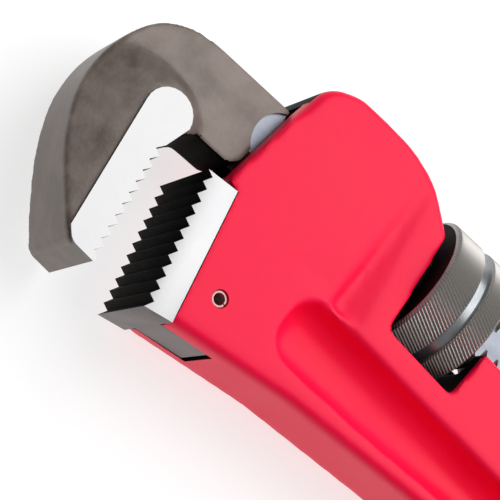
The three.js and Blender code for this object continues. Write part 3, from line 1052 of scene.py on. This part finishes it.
@dataclass
class HookJaw:
    """Forged hook, its ground jaw block and its threaded shank in one piece."""

    teeth_width: float = 30.4
    reach: float = 52.1
    pad_depth: float = 11.4
    crown_depth: float = 24.4
    tooth_lean: float = 1.1
    pad_end_radius: float = 6.0
    flank_drop: float = 0.9
    foot_shift: float = 15.0
    foot_reach: tuple[float, float] = (34.0, 20.0)
    foot_run: float = 44.0
    tail_length: float = 62.0
    thread_pitch: float = 4.0
    thread_depth: float = 1.8
    thread_top: float = 26.0
    steps_per_turn: int = 40
    core_steps: int = 80
    rough_grain: float = 0.72
    rough_passes: int = 50
    grain: float = 0.6
    passes: int = 3

    def __post_init__(self) -> None:
        """Works out the places that follow from the sizes."""
        teeth = SIZES.hook_teeth
        self.tooth_front = (teeth - self.tooth_lean, self.reach)
        self.tooth_back = (teeth + self.tooth_lean, self.reach - self.teeth_width)
        self.pad_end = (teeth + 4.8, 15.4)

    def outline(self) -> list[tuple[float, ...]]:
        """Outline of the hook's flat body.

        Returns:
            The corners, [x, y] or [x, y, radius].
        """
        back = -SIZES.shank_width / 2
        teeth, start, front = SIZES.hook_teeth, SIZES.neck_start, SIZES.neck_front
        top = teeth + self.crown_depth
        crown = through([
            (teeth + 6.5, self.reach + 0.7), (top - 11.7, 44.7), (top - 5, 34.2), (top - 0.8, 22.5),
            (top - 1, 10.3), (top - 5.9, -1.4), (top - 13.7, -7.2), (top - 23, back),
        ])
        return [
            (start - 3, back), (start - 3, 5), (start, 5), (start, front, 4.6), (teeth - 4.8, front),
            (teeth - 1.4, 16), (self.tooth_back[0] + 2, self.tooth_back[1]),
            (self.tooth_front[0] + 3, self.tooth_front[1] + 0.5), *[point[:] for point in crown],
        ]

    def jaw_block(self) -> BMesh:
        """Full-width block: teeth, chin and the round inner end of its pads.

        Returns:
            The closed block.
        """
        teeth = SIZES.hook_teeth
        line = [point[:] for point in tooth_line(self.tooth_back, self.tooth_front)]
        line += [(self.tooth_front[0] + 0.5, self.reach + 1.1), (teeth + 5.8, self.reach + 0.5, 3),
                 (teeth + self.pad_depth - 3.4, self.reach - 2.2)]
        x, y = self.pad_end
        radius = self.pad_end_radius
        steps, start, sweep = 12, 8, 184
        for k in range(steps + 1):
            angle = math.radians(start - sweep * k / steps)
            line.append((x + radius * math.cos(angle), y + radius * math.sin(angle)))
        return prism(line, -SIZES.half, SIZES.half, 4)

    def flank(self, side: int) -> BMesh:
        """Roof that slopes from one pad and its round end down to the thinner crown.

        Args:
            side: 1 above, -1 below.

        Returns:
            The hull of the pad's edge and a wider foot at mid thickness.
        """
        edge = SIZES.hook_teeth + self.pad_depth - 3.2
        high = side * (SIZES.half - self.flank_drop)
        x, y = self.pad_end
        shape = bmesh.new()
        bmesh.ops.create_circle(shape, segments=64, radius=self.pad_end_radius,
                                matrix=Matrix.Translation((x, y, high)))
        foot = Matrix.Translation((x + self.foot_shift, y, 0)) @ Matrix.Diagonal((*self.foot_reach, 1, 1))
        bmesh.ops.create_circle(shape, segments=96, radius=1.0, matrix=foot)
        teeth = SIZES.hook_teeth
        for along, level in ((edge, high), (teeth, high), (edge + self.foot_run, 0), (teeth, 0)):
            bmesh.ops.create_vert(shape, co=(along, self.reach + 8, level))
        hull = bmesh.ops.convex_hull(shape, input=shape.verts[:])
        bmesh.ops.delete(shape, geom=hull["geom_interior"], context="VERTS")
        return shape

    def thread(self) -> BMesh:
        """One helical ridge, spun up the shank with a rise of one pitch a turn.

        Returns:
            The closed ridge.
        """
        crest = SIZES.shank_width / 2
        root = crest - self.thread_depth
        pitch = self.thread_pitch
        start = -self.tail_length - 1.5
        turns = (self.thread_top - start) / pitch
        per_turn = self.steps_per_turn
        steps = round(turns * per_turn)
        profile = [(0.0, root - 0.6), (0.0, root), (pitch * 0.3, crest), (pitch * 0.55, crest),
                   (pitch * 0.85, root), (pitch * 0.85, root - 0.6)]
        shape = bmesh.new()
        verts = [shape.verts.new((start + along, 0.0, radius)) for along, radius in profile]
        edges = [shape.edges.new((verts[i - 1], verts[i])) for i in range(len(verts))]
        bmesh.ops.spin(shape, geom=verts + edges, cent=(0, 0, 0), axis=(1, 0, 0), steps=steps,
                       angle=2 * math.pi * steps / per_turn, dvec=(pitch / per_turn, 0, 0))
        seal(shape)
        return shape

    def shank(self) -> Workpiece:
        """Threaded bar with its two milled flats.

        Returns:
            The shank.
        """
        crest = SIZES.shank_width / 2
        root = crest - self.thread_depth
        tail, neck = -self.tail_length, SIZES.neck_start + 4
        core = turned([(tail - 3, 0.0), (tail - 3, root), (self.thread_top, root),
                       (self.thread_top + 1.5, crest), (neck, crest), (neck, 0.0)], self.core_steps)
        piece = Workpiece(core).join(self.thread())
        stop = turned([(tail, 0.0), (tail, root - 0.8), (tail + 2.4, crest + 1), (neck + 5, crest + 1),
                       (neck + 5, 0.0)], self.core_steps)
        piece.trim(stop)
        half, wide = SIZES.shank_thickness / 2, SIZES.shank_width
        return piece.trim(prism([(tail - 9, -wide), (neck + 9, -wide), (neck + 9, wide), (tail - 9, wide)],
                                -half, half))

    def build(self) -> Workpiece:
        """Forges the hook, grinds the jaw block and cuts the shank.

        Returns:
            The hook jaw with its shank.
        """
        half, neck = SIZES.half, SIZES.neck_thickness / 2
        low, high = SIZES.neck_start - 12, SIZES.hook_teeth + self.crown_depth + 8
        back, front = -18, self.reach + 9.9
        piece = Workpiece(prism([(low, back), (high, back), (high, front), (low, front)], -neck, neck))
        piece.join(self.flank(1), self.flank(-1)).cast(self.rough_grain, self.rough_passes)
        piece.trim(prism(self.outline(), -half, half)).cast(self.grain, self.passes)
        piece.join(self.jaw_block())
        radius = SIZES.shank_width / 2 - 0.6
        for side in (1, -1):
            middle = side * (SIZES.shank_thickness / 2 + neck)
            piece.cut(rod((SIZES.neck_start - 6, 0, middle), radius, 2 * neck))
        return piece.with_tool(self.shank(), "UNION")

    def dress(self, piece: Workpiece) -> bpy.types.Object:
        """Oily forging, bright pads, near-black teeth that are partly painted shade, a throat painted
        near-black as shade, and milled flats.

        Args:
            piece: what build made.

        Returns:
            The object in the frame.
        """
        flat, teeth = SIZES.shank_thickness / 2, SIZES.hook_teeth
        made = piece.finish("hook_jaw_forging", LAYOUT.along_shank, [
            (FORGED, None),
            (GROUND, lambda centre, normal: abs(centre.z) > SIZES.half - 0.02),
            # The teeth's near-black is partly the steel's and partly painted shade.
            (TEETH_AND_SHADE, lambda centre, normal: normal.x < -0.15 and abs(normal.z) < 0.3
             and abs(centre.x - teeth) < 3.2 and centre.y > self.tooth_back[1] - 0.5),
            # Painted shade: the throat and the neck's front face, toward the mouth, get the teeth's
            # near-black.
            (TEETH_AND_SHADE, lambda centre, normal: normal.y > 0.3 and abs(normal.z) < 0.75
             and SIZES.neck_start - 1 < centre.x < teeth + 3 and 5 < centre.y < self.tooth_back[1] + 0.6),
            (MILLED, lambda centre, normal: abs(abs(centre.z) - flat) < 0.02 and abs(normal.z) > 0.9),
        ], sharp=30.0)
        return mount(made, "hook", "hook_jaw")


# ------------------------------------------------------------------ the adjusting nut


@dataclass
class AdjustingNut:
    """Nut with two knurled bands and a smooth groove between them."""

    groove_width: float = 3.0
    groove_depth: float = 1.3
    upper_band: float = 9.6
    chamfer: float = 0.9
    bore_chamfer: float = 0.8
    band_inset: float = 0.35
    ridges: int = 128
    ridge_section: tuple[float, ...] = (0.0, 0.62, 1.0, 0.62)
    rolling_loss: float = 0.02
    ridge_height: float = 0.42
    ridge_slant_deg: float = 24.0
    rows: int = 7

    def build(self) -> Workpiece:
        """Spins the nut and rolls its slanting ridges.

        Returns:
            The nut.
        """
        radius = SIZES.nut_radius - self.rolling_loss
        low, high = SIZES.nut_low, SIZES.nut_high
        groove_top = high - self.upper_band
        groove_low = groove_top - self.groove_width
        bore = SIZES.shank_width / 2 + SIZES.running_gap
        bands = [(low + self.chamfer, groove_low - self.band_inset),
                 (groove_top + self.band_inset, high - self.chamfer)]
        floor = radius - self.groove_depth
        rows = [[(start + (end - start) * k / self.rows, radius) for k in range(self.rows + 1)]
                for start, end in bands]
        groove = [(groove_low, radius - 0.5), (groove_low + 0.15, floor + 0.25), (groove_low + 0.5, floor),
                  (groove_top - 0.5, floor), (groove_top - 0.15, floor + 0.25), (groove_top, radius - 0.5)]
        rim, mouth = radius - self.chamfer, self.bore_chamfer
        profile = [
            (low, bore + mouth), (low, rim - 0.3), (low + 0.2, rim), *rows[0], *groove, *rows[1],
            (high - 0.2, rim), (high, rim - 0.3), (high, bore + mouth), (high - mouth, bore),
            (low + mouth, bore),
        ]
        per_ridge = len(self.ridge_section)
        shape = turned(profile, self.ridges * per_ridge)
        step = 2 * math.pi / (self.ridges * per_ridge)
        slant = math.tan(math.radians(self.ridge_slant_deg)) / radius
        for vert in shape.verts:
            along = vert.co.x
            distance = math.hypot(vert.co.y, vert.co.z)
            angle = math.atan2(vert.co.z, vert.co.y)
            if distance > radius - 0.01:
                height = self.ridge_section[round(angle / step) % per_ridge]
                distance = radius - self.ridge_height * (1 - height)
            turn = angle + slant * (along - low)
            vert.co.y = distance * math.cos(turn)
            vert.co.z = distance * math.sin(turn)
        return Workpiece(shape)

    def dress(self, piece: Workpiece) -> bpy.types.Object:
        """Knurled bands, a polished groove and chamfers, and end faces painted near-black as shade.

        Args:
            piece: what build made.

        Returns:
            The object in the frame.
        """
        rolled = SIZES.nut_radius - self.ridge_height - 0.12
        low, high = SIZES.nut_low + 1, SIZES.nut_high - 1
        made = piece.finish("adjusting_nut_knurled", LAYOUT.along_shank, [
            (KNURLED, None),
            (POLISHED, lambda centre, normal: math.hypot(centre.y, centre.z) < rolled),
            # Painted shade: the end faces get the bare iron's near-black.
            (BARE_IRON_AND_SHADE, lambda centre, normal: abs(normal.x) > 0.9 and not low < centre.x < high),
        ], sharp=34.0)
        return mount(made, "nut", "adjusting_nut")


# ------------------------------------------------------------------ the springs


@dataclass
class CoilSpring:
    """Coil spring that presses the shank back from the front of the housing."""

    turns: int = 6
    steps_per_turn: int = 28
    wire_sides: int = 12
    tip_reach: float = 1.2

    def build(self) -> Workpiece:
        """Round wire spun into a helix.

        Returns:
            The coiled wire.
        """
        start = SIZES.shank_width / 2 + SIZES.coil_wire / 2 + SIZES.seat_gap
        end = SIZES.shank_width / 2 + SIZES.coil_pocket_depth + self.tip_reach - SIZES.coil_wire / 2
        steps = self.turns * self.steps_per_turn
        shape = bmesh.new()
        place = Matrix.Translation((SIZES.coil_station + SIZES.coil_radius, start, 0))
        ring = bmesh.ops.create_circle(shape, segments=self.wire_sides, radius=SIZES.coil_wire / 2,
                                       matrix=place)
        edges = list({edge for vert in ring["verts"] for edge in vert.link_edges})
        bmesh.ops.spin(shape, geom=ring["verts"] + edges, cent=(SIZES.coil_station, 0, 0), axis=(0, 1, 0),
                       steps=steps, angle=2 * math.pi * self.turns, dvec=(0, (end - start) / steps, 0))
        seal(shape)
        return Workpiece(shape)

    def dress(self, piece: Workpiece) -> bpy.types.Object:
        """Blue spring wire."""
        made = piece.finish("coil_spring_wire", LAYOUT.along_shank, [(SPRING_STEEL, None)], sharp=60.0)
        return mount(made, "rocker", "coil_spring")


@dataclass
class FlatSpring:
    """Bowed leaf behind the shank, held at its foot by a pin."""

    bow: float = 4.1
    pin_hole: float = 1.8
    keep: float = 0.55

    def build(self) -> Workpiece:
        """Strip bent along a bow, with its pin hole.

        Returns:
            The leaf.
        """
        foot, tip, wall = SIZES.leaf_foot, SIZES.leaf_tip, self.wall
        line = through([(foot, wall), (foot + 9, wall + 0.25), (SIZES.leaf_station + 2, wall + self.bow),
                        (tip - 3, wall + 1), (tip, wall + 1.4)], 8)
        upper = [(point.x, point.y + SIZES.leaf_gauge) for point in reversed(line)]
        half = SIZES.leaf_width / 2
        piece = Workpiece(prism([*[point[:] for point in line], *upper], -half, half))
        hole = (foot + SIZES.leaf_pin_offset, wall + SIZES.leaf_gauge / 2, 0)
        return piece.cut(rod(hole, self.pin_hole, 6, CROSSWISE, 32))

    @property
    def wall(self) -> float:
        """Where the leaf lies on the pocket's back wall."""
        return SIZES.leaf_wall + SIZES.seat_gap

    def dress(self, piece: Workpiece) -> bpy.types.Object:
        """Blue spring strip.

        Args:
            piece: what build made.

        Returns:
            The object in the frame.
        """
        made = piece.finish("flat_spring_leaf", LAYOUT.along_shank, [(SPRING_STEEL, None)])
        mount(made, "handle", "flat_spring")
        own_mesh(made)
        return made


@dataclass
class FlatSpringPin:
    """Headed pin that holds the leaf's foot to the housing's back wall."""

    head_radius: float = 3.0
    head_height: float = 1.3
    stem_depth: float = 3.0

    def build(self) -> Workpiece:
        """Stem and domed head, spun in one.

        Returns:
            The headed pin.
        """
        floor = SIZES.leaf_wall
        wall = floor + 2 * SIZES.seat_gap + SIZES.leaf_gauge
        dome = [(wall + self.head_height * math.sin(a), self.head_radius * math.cos(a))
                for a in [math.radians(15 * k) for k in range(1, 6)]]
        stem, end = SIZES.leaf_pin_radius, floor - self.stem_depth + SIZES.seat_gap
        profile = [(end, 0.0), (end, stem - 0.3), (end + 0.4, stem), (wall, stem),
                   (wall, self.head_radius), *dome, (wall + self.head_height, 0.0)]
        station = SIZES.leaf_foot + SIZES.leaf_pin_offset
        place = Matrix.Translation((station, 0, 0)) @ Matrix.Rotation(math.pi / 2, 4, "Z")
        return Workpiece(moved(turned(profile, 48), place))

    def dress(self, piece: Workpiece) -> bpy.types.Object:
        """Plain pin steel."""
        made = piece.finish("flat_spring_headed_pin", LAYOUT.along_shank, [(PIN_STEEL, None)])
        return mount(made, "handle", "flat_spring_pin")


# ------------------------------------------------------------------ the studio


@dataclass
class Studio:
    """Pale floor, soft light and the camera."""

    floor_half: float = 3.0
    floor_tone: str = "a8a8a8"
    floor_roughness: float = 0.9
    camera_mm: tuple[float, float, float] = (213.0, 147.9, 326.2)
    camera_turn_deg: tuple[float, float, float] = (7.18, -28.40, -138.89)
    lens: float = 108.0
    sensor: float = 36.0
    clip: tuple[float, float] = (0.01, 20.0)
    key_place: tuple[float, float, float] = (-0.2, -0.5, 0.85)
    key_aim: tuple[float, float, float] = (0.1, 0.0, 0.0)
    key_side: float = 1.1
    key_power: float = 12.2
    ambient: float = 0.27
    table_glow: float = 0.7

    def floor(self) -> None:
        """The plain floor that the wrench lies on: a light table, which keeps shadows pale."""
        shape = bmesh.new()
        bmesh.ops.create_grid(shape, x_segments=1, y_segments=1, size=self.floor_half)
        mesh = mesh_of(shape, "floor")
        thing = in_scene("floor", mesh)
        material = bpy.data.materials.new("lit_white_acrylic")
        material.use_nodes = True
        shader = material.node_tree.nodes["Principled BSDF"]
        shader.inputs["Base Color"].default_value = colour(self.floor_tone)
        shader.inputs["Roughness"].default_value = self.floor_roughness
        shader.inputs["Emission Color"].default_value = (1.0, 1.0, 1.0, 1.0)
        shader.inputs["Emission Strength"].default_value = self.table_glow
        mesh.materials.append(material)

    def lights(self) -> None:
        """A square key light from behind the wrench's back edge, and an even surround."""
        data = bpy.data.lights.new("key_softbox", "AREA")
        data.size = self.key_side
        data.energy = self.key_power
        lamp = in_scene("key_softbox", data)
        lamp.location = self.key_place
        lamp.rotation_mode = "QUATERNION"
        lamp.rotation_quaternion = (Vector(self.key_aim) - lamp.location).to_track_quat("-Z", "Y")
        world = bpy.data.worlds.new("studio")
        world.use_nodes = True
        surround = world.node_tree.nodes["Background"]
        surround.inputs["Color"].default_value = (1.0, 1.0, 1.0, 1.0)
        surround.inputs["Strength"].default_value = self.ambient
        bpy.context.scene.world = world

    def camera(self) -> None:
        """The camera above the jaws."""
        data = bpy.data.cameras.new("camera")
        data.lens = self.lens
        data.sensor_width = self.sensor
        data.clip_start, data.clip_end = self.clip
        eye = in_scene("camera", data)
        eye.location = Vector(self.camera_mm) * MM
        eye.rotation_euler = [math.radians(angle) for angle in self.camera_turn_deg]
        bpy.context.scene.camera = eye

    def build(self) -> None:
        """Sets the studio up, with plain colour handling."""
        self.camera()
        self.floor()
        self.lights()
        bpy.context.scene.view_settings.view_transform = "Standard"


def main() -> None:
    """Builds the studio and every piece, and reports each one."""
    logging.basicConfig(level=logging.INFO, format="%(message)s")
    Studio().build()
    for maker in (HandleCasting(), HeelJaw(), HeelJawPin(), HookJaw(), AdjustingNut(),
                  CoilSpring(), FlatSpring(), FlatSpringPin()):
        maker.dress(maker.build())


if __name__ == "__main__":
    main()
